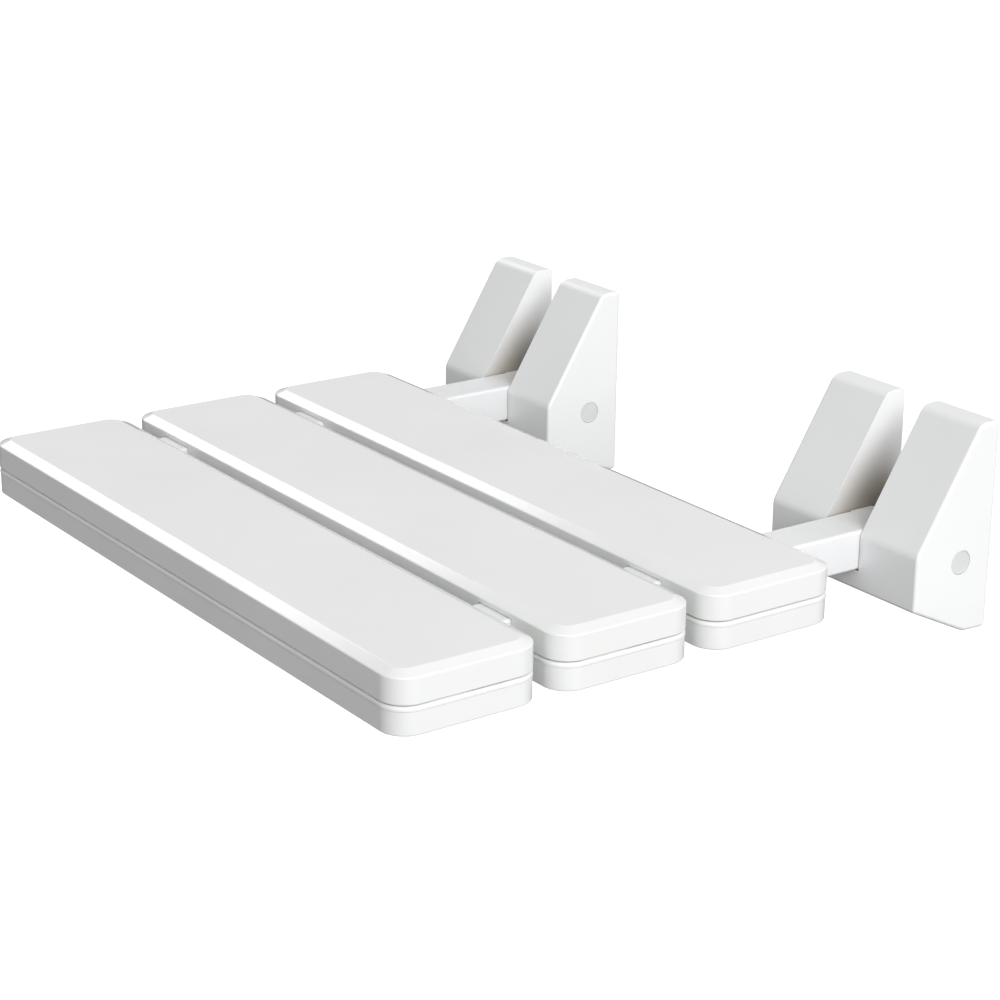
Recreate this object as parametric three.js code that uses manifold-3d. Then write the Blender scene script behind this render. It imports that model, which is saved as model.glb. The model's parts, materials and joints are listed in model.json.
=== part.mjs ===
// A wall-mounted fold-down shower seat: three double-skinned slats carried by two hinged arms, each held by
// its own wall bracket. Millimetres. +X runs along the wall, +Y points into the wall and +Z is up. The
// origin is on the wall's face, midway between the brackets and level with the pivots. The seat is drawn
// folded down.

import * as THREE from "three";
import { mergeVertices } from "three/addons/utils/BufferGeometryUtils.js";
import Module from "manifold-3d";

const wasm = await Module();
wasm.setup();

// Slats: each is an upper and a lower moulded shell, clamped round the arms.
const SLAT_NAMES = ["rear", "middle", "front"];
const SLAT_LENGTH = 398;
const SLAT_DEPTH = 77.5;
const SLAT_GAP = 8.1;
const SLAT_CORNER_RADIUS = 13;
const SLAT_BEVEL_WIDTH = 6;
const SLAT_BEVEL_DROP = 2.4;
const UPPER_SHELL_HEIGHT = 14.9;
const SHELL_SEAM = 0.6;
const SHELL_WALL = 2.5;
const SHELL_ROOF = 3.2;
const RIB_THICKNESS = 2;

// Arms: rectangular tube, with a pivot block plugged into the rear end and a cap in the front end.
const ARM_SPACING = 299;
const ARM_WIDTH = 25;
const ARM_HEIGHT = 20.6;
const ARM_WALL = 2;
const ARM_FRONT_INSET = 10;
const END_CAP_FLANGE = 2;
const END_CAP_SPIGOT = 5;
const SLAT_ABOVE_ARM = 5;
const SLAT_BELOW_ARM = 3.6;
const BLOCK_NECK = 12.5;
const BLOCK_SPIGOT = 46;

// Wall brackets: a steel plate with two ears under a one-piece moulded cover.
const BRACKET_TOP = 69.2;
const BRACKET_BOTTOM = 38.2;
const BRACKET_DEPTH = 50;
const BRACKET_TOP_DEPTH = 12.1;
const BRACKET_FRONT_TOP = 8;
const BRACKET_HEEL_DEPTH = 15;
const BRACKET_HEEL_RISE = 0.6;
const WEB_HEIGHT = 10.3;
const CHEEK_WIDTH = 40;
const COVER_WALL = 2.5;
const COVER_RADII = { back: 2.5, heel: 12, toe: 2, knee: 8, crown: 7 };
const PLATE_THICKNESS = 2.5;
const PLATE_TOP = 60;
const PLATE_BOTTOM = 30;
const PLATE_NOTCH = 22;
const PLATE_SIDE_CLEARANCE = 1.4;
const PLATE_CORNER_RADIUS = 4;
const EAR_RADIUS = 14;
const WALL_SCREW_HOLE_RADIUS = 3;
const WALL_SCREW_FROM_TOP = 14;
const WALL_SCREW_FROM_BOTTOM = 12;

// Pivot: a shouldered pin through both ears, running in two flanged bushes.
const PIN_RADIUS = 4;
const PIN_HEAD_RADIUS = 5.7;
const PIN_HEAD_HEIGHT = 4;
const PIN_SOCKET_RADIUS = 2.5;
const PIN_SOCKET_DEPTH = 2.5;
const PIN_THREAD_RADIUS = 2.9;
const NUT_ACROSS_FLATS = 10;
const NUT_HEIGHT = 5;
const THREAD_BEYOND_NUT = 1.6;
const WASHER_RADIUS = 8;
const WASHER_THICKNESS = 1.2;
const BUSH_RADIUS = 6;
const BUSH_SPACING = 2;
const BUSH_LENGTH = (ARM_WIDTH - BUSH_SPACING) / 2;
const BUSH_FLANGE_RADIUS = 8;
const BUSH_FLANGE = 1.2;
const CAP_RADIUS = 6.15;
const CAP_DISC = 2.5;
const CAP_SKIRT_LENGTH = 6;
const CAP_SKIRT_WALL = 1.2;
const CAP_TUBE_WALL = 2;

// Stop pad: the arm comes down on it.
const PAD_WIDTH = 20;
const PAD_DEPTH = 16;
const PAD_HEIGHT = 2.6;
const PAD_FROM_FRONT = 4;

// Screws: slats are fixed to the arms, and the arms to the pivot blocks, from below.
const SLAT_SCREW = { radius: 2, headRadius: 4, headHeight: 2.2 };
const SLAT_SCREW_FROM_EDGE = 24.5;
const SLAT_SCREW_SKIN = 1.5;
const BLOCK_SCREW = { radius: 1.5, headRadius: 3, headHeight: 1.6 };
const BLOCK_SCREW_LENGTH = 10;
const BLOCK_SCREW_STATIONS = [24, 36];
const SCREW_HEAD_SINK = 0.2;
const SCREW_TIP = 1.5;
const CROSS_WIDTH = 0.9;
const CROSS_DEPTH = 1.1;

// Clearances.
const FIT_GAP = 0.3;
const SLOT_GAP = 0.4;
const PAD_GAP = 0.3;
const FOLD_CLEARANCE = 5.6;
const WALL_CLEARANCE = 5.2;

// How far a cutter runs past what it cuts, and a piece into what it is joined to.
const OVERRUN = 1;

// Facets: round a corner, and round a full circle.
const CORNER_FACETS = 6;
const ROUND_FACETS = 24;
const SCREW_FACETS = 12;

// What the driving sizes give.
const SEAT_TOP = ARM_HEIGHT / 2 + SLAT_ABOVE_ARM;
const SEAT_BOTTOM = -ARM_HEIGHT / 2 - SLAT_BELOW_ARM;
const SEAM_TOP = SEAT_TOP - UPPER_SHELL_HEIGHT;
const SEAM_BOTTOM = SEAM_TOP - SHELL_SEAM;
const PIVOT_Y = -(SEAT_TOP + WALL_CLEARANCE);
const SEAT_REAR_Y = PIVOT_Y - Math.hypot(BRACKET_TOP, PIVOT_Y) - FOLD_CLEARANCE;
const SLAT_PITCH = SLAT_DEPTH + SLAT_GAP;
const SEAT_FRONT_Y = SEAT_REAR_Y - (SLAT_NAMES.length - 1) * SLAT_PITCH - SLAT_DEPTH;
const ARM_FRONT_Y = SEAT_FRONT_Y + ARM_FRONT_INSET;
const TUBE_FRONT_Y = ARM_FRONT_Y + END_CAP_FLANGE + FIT_GAP;
const TUBE_REAR_Y = PIVOT_Y - BLOCK_NECK - FIT_GAP;
const SLOT_HALF = ARM_WIDTH / 2 + SLOT_GAP;
const INNER_WALL_OUT = SLOT_HALF + COVER_WALL;
const EAR_IN = INNER_WALL_OUT + FIT_GAP;
const EAR_OUT = EAR_IN + PLATE_THICKNESS;
const WASHER_IN = EAR_OUT + FIT_GAP;
const WASHER_OUT = WASHER_IN + WASHER_THICKNESS;
const PIN_SHOULDER = WASHER_OUT + FIT_GAP;
const COVER_HALF = SLOT_HALF + CHEEK_WIDTH;
const PLATE_HALF = COVER_HALF - COVER_WALL - PLATE_SIDE_CLEARANCE;
const WEB_TOP = -ARM_HEIGHT / 2 - 2 * PAD_GAP;
const PAD_TOP = -ARM_HEIGHT / 2 - PAD_GAP;
const POCKET_FLOOR = PAD_TOP - PAD_HEIGHT - FIT_GAP;
const CAP_TUBE_IN = PIN_SHOULDER + FIT_GAP + NUT_HEIGHT + THREAD_BEYOND_NUT + 2 * FIT_GAP;

// ---- Shapes ----

// Turns a closed geometry into a solid that can be joined and cut.
function solid(geometry) {
  const bare = geometry.index ? geometry.toNonIndexed() : geometry.clone();
  for (const name of Object.keys(bare.attributes)) {
    if (name !== "position") bare.deleteAttribute(name);
  }
  const merged = mergeVertices(bare, 1e-4);
  const vertProperties = new Float32Array(merged.attributes.position.array);
  const triVerts = new Uint32Array(merged.index.array);
  return new wasm.Manifold(new wasm.Mesh({ numProp: 3, vertProperties, triVerts }));
}

// Turns a solid back into a flat-shaded geometry.
function geometryOf(body) {
  const mesh = body.getMesh();
  const indexed = new THREE.BufferGeometry();
  indexed.setAttribute("position", new THREE.BufferAttribute(mesh.vertProperties, 3));
  indexed.setIndex(new THREE.BufferAttribute(mesh.triVerts, 1));
  const flat = indexed.toNonIndexed();
  flat.computeVertexNormals();
  return flat;
}

function block([x0, x1], [y0, y1], [z0, z1]) {
  const geometry = new THREE.BoxGeometry(x1 - x0, y1 - y0, z1 - z0);
  return solid(geometry.translate((x0 + x1) / 2, (y0 + y1) / 2, (z0 + z1) / 2));
}

// Draws an outline through corners [a, b, radius], listed anticlockwise, with an arc at each corner.
function outline(corners) {
  const shape = new THREE.Shape();
  corners.forEach(([a, b, radius], i) => {
    const before = corners[(i + corners.length - 1) % corners.length];
    const after = corners[(i + 1) % corners.length];
    const corner = new THREE.Vector2(a, b);
    if (!radius) {
      if (i) shape.lineTo(a, b);
      else shape.moveTo(a, b);
      return;
    }
    const back = new THREE.Vector2(before[0], before[1]).sub(corner).normalize();
    const ahead = new THREE.Vector2(after[0], after[1]).sub(corner).normalize();
    const half = Math.acos(back.dot(ahead)) / 2;
    const start = corner.clone().addScaledVector(back, radius / Math.tan(half));
    const end = corner.clone().addScaledVector(ahead, radius / Math.tan(half));
    const middle = back.clone().add(ahead).normalize();
    const centre = corner.clone().addScaledVector(middle, radius / Math.sin(half));
    const from = Math.atan2(start.y - centre.y, start.x - centre.x);
    const to = Math.atan2(end.y - centre.y, end.x - centre.x);
    if (i) shape.lineTo(start.x, start.y);
    else shape.moveTo(start.x, start.y);
    shape.absarc(centre.x, centre.y, radius, from, to, back.cross(ahead) > 0);
  });
  shape.closePath();
  return shape;
}

// Moves each side of a convex outline inwards by its own amount, so a side with a negative amount moves out.
function insetCorners(corners, amounts) {
  const sides = corners.map(([a, b], i) => {
    const next = corners[(i + 1) % corners.length];
    const along = new THREE.Vector2(next[0] - a, next[1] - b).normalize();
    const inward = new THREE.Vector2(-along.y, along.x);
    return { along, start: new THREE.Vector2(a, b).addScaledVector(inward, amounts[i]) };
  });
  return corners.map(([, , radius], i) => {
    const before = sides[(i + sides.length - 1) % sides.length];
    const after = sides[i];
    const apart = after.start.clone().sub(before.start);
    const travel = apart.cross(after.along) / before.along.cross(after.along);
    const corner = before.start.clone().addScaledVector(before.along, travel);
    return [corner.x, corner.y, Math.max(radius - amounts[i], 0)];
  });
}

const SHAPE_AXES = {
  x: [new THREE.Vector3(0, 1, 0), new THREE.Vector3(0, 0, 1), new THREE.Vector3(1, 0, 0)],
  z: [new THREE.Vector3(1, 0, 0), new THREE.Vector3(0, 1, 0), new THREE.Vector3(0, 0, 1)],
};

// Extrudes an outline along X (drawn in Y and Z) or along Z (drawn in X and Y), from one place to another.
// A shape draws each of its arcs with twice as many facets as its curve segments.
function prism(axis, shape, [from, to], facets = CORNER_FACETS) {
  const options = { depth: to - from, bevelEnabled: false, curveSegments: facets / 2 };
  const geometry = new THREE.ExtrudeGeometry(shape, options).translate(0, 0, from);
  return solid(geometry.applyMatrix4(new THREE.Matrix4().makeBasis(...SHAPE_AXES[axis])));
}

// Extrudes an outline drawn in X and Z along Y.
function plate(shape, [from, to], facets = CORNER_FACETS) {
  const options = { depth: to - from, bevelEnabled: false, curveSegments: facets / 2 };
  const geometry = new THREE.ExtrudeGeometry(shape, options);
  return solid(geometry.rotateX(Math.PI / 2).translate(0, to, 0));
}

function disc(radius, a, b) {
  return new THREE.Shape().absarc(a, b, radius, 0, 2 * Math.PI);
}

// A round bar along X at the pivot's height and depth.
function pivotBar(radius, span) {
  return prism("x", disc(radius, PIVOT_Y, 0), span, ROUND_FACETS);
}

// Turns a profile of [radius, height] points, listed upwards, about Z.
function turned(profile, facets = ROUND_FACETS) {
  const points = profile.map(([radius, height]) => new THREE.Vector2(radius, height));
  return solid(new THREE.LatheGeometry(points, facets).rotateX(Math.PI / 2));
}

// Lays a solid turned about Z along X, with its base at the given place on the pivot's axis.
function onPivot(body, x) {
  return body.rotate([0, 90, 0]).translate([x, PIVOT_Y, 0]);
}

// ---- Screws ----

// A countersunk screw pointing up, with its head's flat face at height 0.
function countersunkScrew({ radius, headRadius, headHeight }, length) {
  const shank = turned(
    [[0, 0], [headRadius, 0], [radius, headHeight], [radius, length - SCREW_TIP], [0, length]],
    SCREW_FACETS,
  );
  const reach = radius + CROSS_WIDTH / 2;
  const depth = [-FIT_GAP, CROSS_DEPTH];
  const slot = [-CROSS_WIDTH / 2, CROSS_WIDTH / 2];
  const cross = block([-reach, reach], slot, depth).add(block(slot, [-reach, reach], depth));
  return shank.subtract(cross);
}

// The hole that such a screw stands in, with its mouth opened out below the head.
function countersunkHole({ radius, headRadius, headHeight }, length) {
  const mouth = headRadius + FIT_GAP;
  const bore = radius + FIT_GAP;
  return turned(
    [
      [0, -OVERRUN],
      [mouth, -OVERRUN],
      [mouth, FIT_GAP],
      [bore, headHeight + FIT_GAP],
      [bore, length],
      [0, length],
    ],
    SCREW_FACETS,
  );
}

function slatRearY(row) {
  return SEAT_REAR_Y - row * SLAT_PITCH;
}

// Where the screws of one slat stand: two on each arm.
function slatScrewPlaces(row) {
  const rear = slatRearY(row);
  const depths = [rear - SLAT_DEPTH + SLAT_SCREW_FROM_EDGE, rear - SLAT_SCREW_FROM_EDGE];
  const sides = [-ARM_SPACING / 2, ARM_SPACING / 2];
  return sides.flatMap((x) => depths.map((y) => [x, y, SEAT_BOTTOM + SCREW_HEAD_SINK]));
}

const SLAT_SCREW_LENGTH = SEAT_TOP - SLAT_SCREW_SKIN - FIT_GAP - SEAT_BOTTOM - SCREW_HEAD_SINK;

function blockScrewPlaces() {
  const z = -ARM_HEIGHT / 2 + SCREW_HEAD_SINK;
  return BLOCK_SCREW_STATIONS.map((station) => [0, TUBE_REAR_Y - station, z]);
}

// ---- Slats ----

function slatOutline(inset) {
  const halfLength = SLAT_LENGTH / 2 - inset;
  const halfDepth = SLAT_DEPTH / 2 - inset;
  const radius = SLAT_CORNER_RADIUS - inset;
  return outline([
    [-halfLength, -halfDepth, radius],
    [halfLength, -halfDepth, radius],
    [halfLength, halfDepth, radius],
    [-halfLength, halfDepth, radius],
  ]);
}

// The whole slat as one lump, bevelled round its top. The bevel that an extrusion also has at its foot is
// cut off.
function slatLump() {
  const geometry = new THREE.ExtrudeGeometry(slatOutline(0), {
    depth: SEAT_TOP - SEAT_BOTTOM,
    bevelThickness: SLAT_BEVEL_DROP,
    bevelSize: SLAT_BEVEL_WIDTH,
    bevelOffset: -SLAT_BEVEL_WIDTH,
    bevelSegments: 1,
    curveSegments: CORNER_FACETS / 2,
  });
  const lump = solid(geometry.translate(0, 0, SEAT_BOTTOM - SLAT_BEVEL_DROP));
  return lump.subtract(slab([SEAT_BOTTOM - 2 * SLAT_BEVEL_DROP, SEAT_BOTTOM]));
}

// A slab wider than any slat, to cut one off level.
function slab(zSpan) {
  const beyond = [-SLAT_LENGTH, SLAT_LENGTH];
  return block(beyond, beyond, zSpan);
}

// Ribs inside a shell: one along the slat, and one on each side of each arm.
function slatRibs([bottom, top]) {
  const half = RIB_THICKNESS / 2;
  const acrossSpan = [-SLAT_DEPTH / 2 + half, SLAT_DEPTH / 2 - half];
  const alongSpan = [-SLAT_LENGTH / 2 + half, SLAT_LENGTH / 2 - half];
  let ribs = block(alongSpan, [-half, half], [bottom, top]);
  for (const arm of [-ARM_SPACING / 2, ARM_SPACING / 2]) {
    for (const side of [-1, 1]) {
      const x = arm + side * (ARM_WIDTH / 2 + FIT_GAP + half);
      ribs = ribs.add(block([x - half, x + half], acrossSpan, [bottom, top]));
    }
  }
  return ribs;
}

// The channels that the arms lie in. The front slat's stop short of its front wall.
function armChannels(row) {
  const rear = slatRearY(row);
  const reach = ARM_WIDTH / 2 + FIT_GAP;
  const lift = ARM_HEIGHT / 2 + FIT_GAP;
  const front = Math.max(rear - SLAT_DEPTH - OVERRUN, ARM_FRONT_Y - FIT_GAP);
  const channel = (x) => block([x - reach, x + reach], [front, rear + OVERRUN], [-lift, lift]);
  return channel(-ARM_SPACING / 2).add(channel(ARM_SPACING / 2));
}

function drilledSlat(shell, row) {
  let body = shell.translate([0, slatRearY(row) - SLAT_DEPTH / 2, 0]).subtract(armChannels(row));
  const hole = countersunkHole(SLAT_SCREW, SLAT_SCREW_LENGTH + FIT_GAP);
  for (const place of slatScrewPlaces(row)) body = body.subtract(hole.translate(place));
  return body;
}

function hollow(zSpan) {
  return prism("z", slatOutline(SHELL_WALL), zSpan);
}

function upperShell(row) {
  const roof = SEAT_TOP - SHELL_ROOF;
  const skin = slatLump()
    .subtract(slab([SEAT_BOTTOM - OVERRUN, SEAM_TOP]))
    .subtract(hollow([SEAM_TOP - OVERRUN, roof]));
  const saddleHalf = ARM_WIDTH / 2 + FIT_GAP + RIB_THICKNESS;
  const saddleDepth = [SHELL_WALL / 2 - SLAT_DEPTH / 2, SLAT_DEPTH / 2 - SHELL_WALL / 2];
  const saddleSpan = [ARM_HEIGHT / 2, roof + SHELL_ROOF / 2];
  const saddle = (x) => block([x - saddleHalf, x + saddleHalf], saddleDepth, saddleSpan);
  const body = skin
    .add(slatRibs([SEAM_TOP, roof + OVERRUN]))
    .add(saddle(-ARM_SPACING / 2))
    .add(saddle(ARM_SPACING / 2));
  return drilledSlat(body, row);
}

function lowerShell(row) {
  const floor = -ARM_HEIGHT / 2 - FIT_GAP;
  const skin = slatLump()
    .subtract(slab([SEAM_BOTTOM, SEAT_TOP + OVERRUN]))
    .subtract(hollow([floor, SEAM_BOTTOM + OVERRUN]));
  return drilledSlat(skin.add(slatRibs([floor - OVERRUN, SEAM_BOTTOM])), row);
}

// ---- Arms ----

function armTube() {
  const halfWidth = ARM_WIDTH / 2;
  const halfHeight = ARM_HEIGHT / 2;
  const innerWidth = halfWidth - ARM_WALL;
  const innerHeight = halfHeight - ARM_WALL;
  const boreSpan = [TUBE_FRONT_Y - OVERRUN, TUBE_REAR_Y + OVERRUN];
  let body = block([-halfWidth, halfWidth], [TUBE_FRONT_Y, TUBE_REAR_Y], [-halfHeight, halfHeight]).subtract(
    block([-innerWidth, innerWidth], boreSpan, [-innerHeight, innerHeight]),
  );
  const bore = disc(SLAT_SCREW.radius + FIT_GAP, 0, 0);
  const through = prism("z", bore, [-ARM_HEIGHT, ARM_HEIGHT], SCREW_FACETS);
  SLAT_NAMES.forEach((name, row) => {
    for (const [x, y] of slatScrewPlaces(row)) {
      if (x > 0) body = body.subtract(through.translate([0, y, 0]));
    }
  });
  const hole = countersunkHole(BLOCK_SCREW, ARM_WALL + OVERRUN);
  for (const place of blockScrewPlaces()) body = body.subtract(hole.translate(place));
  return body;
}

function armEndCap() {
  const halfWidth = ARM_WIDTH / 2;
  const halfHeight = ARM_HEIGHT / 2;
  const plugWidth = halfWidth - ARM_WALL - FIT_GAP;
  const plugHeight = halfHeight - ARM_WALL - FIT_GAP;
  const flangeSpan = [ARM_FRONT_Y, ARM_FRONT_Y + END_CAP_FLANGE];
  const plugSpan = [ARM_FRONT_Y + END_CAP_FLANGE / 2, TUBE_FRONT_Y + END_CAP_SPIGOT];
  return block([-halfWidth, halfWidth], flangeSpan, [-halfHeight, halfHeight]).add(
    block([-plugWidth, plugWidth], plugSpan, [-plugHeight, plugHeight]),
  );
}

// The round-ended block that closes the arm's rear end and turns on the pin.
function pivotBlock() {
  const halfWidth = ARM_WIDTH / 2;
  const halfHeight = ARM_HEIGHT / 2;
  const side = new THREE.Shape()
    .moveTo(PIVOT_Y - BLOCK_NECK, -halfHeight)
    .lineTo(PIVOT_Y, -halfHeight)
    .absarc(PIVOT_Y, 0, halfHeight, -Math.PI / 2, Math.PI / 2)
    .lineTo(PIVOT_Y - BLOCK_NECK, halfHeight)
    .closePath();
  const plugWidth = halfWidth - ARM_WALL - FIT_GAP;
  const plugHeight = halfHeight - ARM_WALL - FIT_GAP;
  const plugSpan = [TUBE_REAR_Y - BLOCK_SPIGOT, PIVOT_Y - BLOCK_NECK + OVERRUN];
  let body = prism("x", side, [-halfWidth, halfWidth], ROUND_FACETS / 2)
    .add(block([-plugWidth, plugWidth], plugSpan, [-plugHeight, plugHeight]))
    .subtract(pivotBar(BUSH_RADIUS + FIT_GAP, [-ARM_WIDTH, ARM_WIDTH]));
  const recess = halfWidth - BUSH_FLANGE - FIT_GAP;
  for (const span of [[-ARM_WIDTH, -recess], [recess, ARM_WIDTH]]) {
    body = body.subtract(pivotBar(BUSH_FLANGE_RADIUS + FIT_GAP, span));
  }
  const boreSpan = [0, BLOCK_SCREW_LENGTH + FIT_GAP];
  const bore = prism("z", disc(BLOCK_SCREW.radius + FIT_GAP, 0, 0), boreSpan, SCREW_FACETS);
  for (const place of blockScrewPlaces()) body = body.subtract(bore.translate(place));
  return body;
}

// A flanged bush: its flange is flush with the block's side.
function bush(side) {
  const bore = PIN_RADIUS + FIT_GAP;
  const body = turned([
    [bore, 0],
    [BUSH_RADIUS, 0],
    [BUSH_RADIUS, BUSH_LENGTH - BUSH_FLANGE],
    [BUSH_FLANGE_RADIUS, BUSH_LENGTH - BUSH_FLANGE],
    [BUSH_FLANGE_RADIUS, BUSH_LENGTH],
    [bore, BUSH_LENGTH],
    [bore, 0],
  ]);
  return side > 0
    ? onPivot(body, ARM_WIDTH / 2 - BUSH_LENGTH)
    : onPivot(body.rotate([180, 0, 0]), BUSH_LENGTH - ARM_WIDTH / 2);
}

// ---- Brackets ----

// The bracket's side view in Y and Z, from the bottom of the back, round the front, to the top of the back.
function bracketCorners() {
  const toe = -ARM_HEIGHT / 2 - WEB_HEIGHT;
  return [
    [0, -BRACKET_BOTTOM, COVER_RADII.back],
    [0, BRACKET_TOP, COVER_RADII.back],
    [-BRACKET_TOP_DEPTH, BRACKET_TOP, COVER_RADII.crown],
    [-BRACKET_DEPTH, BRACKET_FRONT_TOP, COVER_RADII.knee],
    [-BRACKET_DEPTH, toe, COVER_RADII.toe],
    [-BRACKET_HEEL_DEPTH, BRACKET_HEEL_RISE - BRACKET_BOTTOM, COVER_RADII.heel],
  ];
}

function bracketCover() {
  const corners = bracketCorners();
  const shell = corners.map(() => COVER_WALL);
  shell[0] = -OVERRUN;
  const inner = outline(insetCorners(corners, shell));
  const cheekSpan = [INNER_WALL_OUT, COVER_HALF - COVER_WALL];
  const webCeiling = POCKET_FLOOR - COVER_WALL;
  const through = [-BRACKET_DEPTH - OVERRUN, 2 * OVERRUN];
  const underWeb = block([-COVER_HALF, COVER_HALF], through, [-BRACKET_BOTTOM - OVERRUN, webCeiling]);
  const slot = block([-SLOT_HALF, SLOT_HALF], through, [WEB_TOP, BRACKET_TOP + OVERRUN]);
  const plateHalf = PLATE_HALF + FIT_GAP;
  const plateRoom = block(
    [-plateHalf, plateHalf],
    [-PLATE_THICKNESS - FIT_GAP, OVERRUN],
    [-PLATE_BOTTOM - FIT_GAP, PLATE_NOTCH + FIT_GAP],
  );
  let body = prism("x", outline(corners), [-COVER_HALF, COVER_HALF])
    .subtract(prism("x", inner, cheekSpan))
    .subtract(prism("x", inner, cheekSpan.map((x) => -x).reverse()))
    .subtract(prism("x", inner, [-cheekSpan[1], cheekSpan[1]]).intersect(underWeb))
    .subtract(slot)
    .subtract(plateRoom);
  const tubeRadius = CAP_RADIUS + FIT_GAP + CAP_TUBE_WALL;
  for (const side of [-1, 1]) {
    const reach = [CAP_TUBE_IN, COVER_HALF - COVER_WALL / 2].map((x) => side * x).sort((a, b) => a - b);
    body = body.add(pivotBar(tubeRadius, reach));
    const mouth = [CAP_TUBE_IN - OVERRUN, COVER_HALF + OVERRUN].map((x) => side * x).sort((a, b) => a - b);
    body = body.subtract(pivotBar(CAP_RADIUS + FIT_GAP, mouth));
  }
  body = body.subtract(pivotBar(PIN_RADIUS + FIT_GAP, [-EAR_IN, EAR_IN]));
  return body.subtract(padRoom(FIT_GAP, WEB_TOP + OVERRUN));
}

// The stop pad's space, grown all round by a gap, up to a given height.
function padRoom(gap, top) {
  const half = PAD_WIDTH / 2 + gap;
  const front = -BRACKET_DEPTH + PAD_FROM_FRONT;
  return block([-half, half], [front - gap, front + PAD_DEPTH + gap], [PAD_TOP - PAD_HEIGHT - gap, top]);
}

function stopPad() {
  return padRoom(0, PAD_TOP);
}

function wallPlate() {
  const radius = PLATE_CORNER_RADIUS;
  const back = plate(
    outline([
      [-PLATE_HALF, -PLATE_BOTTOM, radius],
      [PLATE_HALF, -PLATE_BOTTOM, radius],
      [PLATE_HALF, PLATE_TOP, radius],
      [EAR_IN, PLATE_TOP, radius],
      [EAR_IN, PLATE_NOTCH, 0],
      [-EAR_IN, PLATE_NOTCH, 0],
      [-EAR_IN, PLATE_TOP, radius],
      [-PLATE_HALF, PLATE_TOP, radius],
    ]),
    [-PLATE_THICKNESS, 0],
  );
  const ear = new THREE.Shape()
    .moveTo(-PLATE_THICKNESS / 2, EAR_RADIUS)
    .lineTo(PIVOT_Y, EAR_RADIUS)
    .absarc(PIVOT_Y, 0, EAR_RADIUS, Math.PI / 2, (3 * Math.PI) / 2)
    .lineTo(-PLATE_THICKNESS / 2, -EAR_RADIUS)
    .closePath();
  let body = back.add(prism("x", ear, [EAR_IN, EAR_OUT], ROUND_FACETS / 2));
  body = body.add(prism("x", ear, [-EAR_OUT, -EAR_IN], ROUND_FACETS / 2));
  body = body.subtract(pivotBar(PIN_RADIUS + FIT_GAP, [-COVER_HALF, COVER_HALF]));
  const drill = [-PLATE_THICKNESS - OVERRUN, OVERRUN];
  const hole = plate(disc(WALL_SCREW_HOLE_RADIUS, 0, 0), drill, SCREW_FACETS);
  for (const x of [-1, 1].map((side) => (side * (EAR_OUT + PLATE_HALF)) / 2)) {
    for (const z of [PLATE_TOP - WALL_SCREW_FROM_TOP, WALL_SCREW_FROM_BOTTOM - PLATE_BOTTOM]) {
      body = body.subtract(hole.translate([x, 0, z]));
    }
  }
  return body;
}

// ---- Pivot hardware ----

// The pin's head is on the outer side, so the profile starts at the threaded end.
function pivotPin() {
  const thread = FIT_GAP + NUT_HEIGHT + THREAD_BEYOND_NUT;
  const shoulder = thread + 2 * PIN_SHOULDER;
  const length = shoulder + PIN_HEAD_HEIGHT;
  const body = turned([
    [0, 0],
    [PIN_THREAD_RADIUS, 0],
    [PIN_THREAD_RADIUS, thread],
    [PIN_RADIUS, thread],
    [PIN_RADIUS, shoulder],
    [PIN_HEAD_RADIUS, shoulder],
    [PIN_HEAD_RADIUS, length],
    [PIN_SOCKET_RADIUS, length],
    [PIN_SOCKET_RADIUS, length - PIN_SOCKET_DEPTH],
    [0, length - PIN_SOCKET_DEPTH],
  ]);
  return onPivot(body, -PIN_SHOULDER - thread);
}

function pivotNut() {
  const radius = NUT_ACROSS_FLATS / Math.sqrt(3);
  const turns = [0, 1, 2, 3, 4, 5].map((i) => (i * Math.PI) / 3);
  const corners = turns.map((turn) => [PIVOT_Y + radius * Math.cos(turn), radius * Math.sin(turn), 0]);
  const inner = -PIN_SHOULDER - FIT_GAP;
  const body = prism("x", outline(corners), [inner - NUT_HEIGHT, inner]);
  const bore = [inner - NUT_HEIGHT - OVERRUN, inner + OVERRUN];
  return body.subtract(pivotBar(PIN_THREAD_RADIUS + FIT_GAP, bore));
}

function washer(side) {
  const span = [WASHER_IN, WASHER_OUT].map((x) => side * x).sort((a, b) => a - b);
  const bore = [span[0] - OVERRUN, span[1] + OVERRUN];
  return pivotBar(WASHER_RADIUS, span).subtract(pivotBar(PIN_RADIUS + FIT_GAP, bore));
}

// A snap-in cap, flush with the cheek's outer face, with an open skirt behind its disc.
function pivotCap(side) {
  const length = CAP_DISC + CAP_SKIRT_LENGTH;
  const body = turned([
    [CAP_RADIUS - CAP_SKIRT_WALL, 0],
    [CAP_RADIUS, 0],
    [CAP_RADIUS, length],
    [0, length],
    [0, length - CAP_DISC],
    [CAP_RADIUS - CAP_SKIRT_WALL, length - CAP_DISC],
    [CAP_RADIUS - CAP_SKIRT_WALL, 0],
  ]);
  return side > 0
    ? onPivot(body, COVER_HALF - length)
    : onPivot(body.rotate([180, 0, 0]), length - COVER_HALF);
}

// ---- Assembly ----

const FINISHES = {
  slat: { color: 0xe9ebea, roughness: 0.38, metalness: 0 },
  cover: { color: 0xeceded, roughness: 0.35, metalness: 0 },
  cap: { color: 0xdfe0e2, roughness: 0.4, metalness: 0 },
  arm: { color: 0xe8e9eb, roughness: 0.32, metalness: 0.1 },
  nylon: { color: 0xd9dad6, roughness: 0.5, metalness: 0 },
  rubber: { color: 0x3b3d40, roughness: 0.85, metalness: 0 },
  steel: { color: 0xb9bcc0, roughness: 0.3, metalness: 1 },
};

function piece(name, finish, body, place = [0, 0, 0]) {
  const mesh = new THREE.Mesh(geometryOf(body), new THREE.MeshStandardMaterial(FINISHES[finish]));
  mesh.name = name;
  mesh.position.set(...place);
  return mesh;
}

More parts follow.
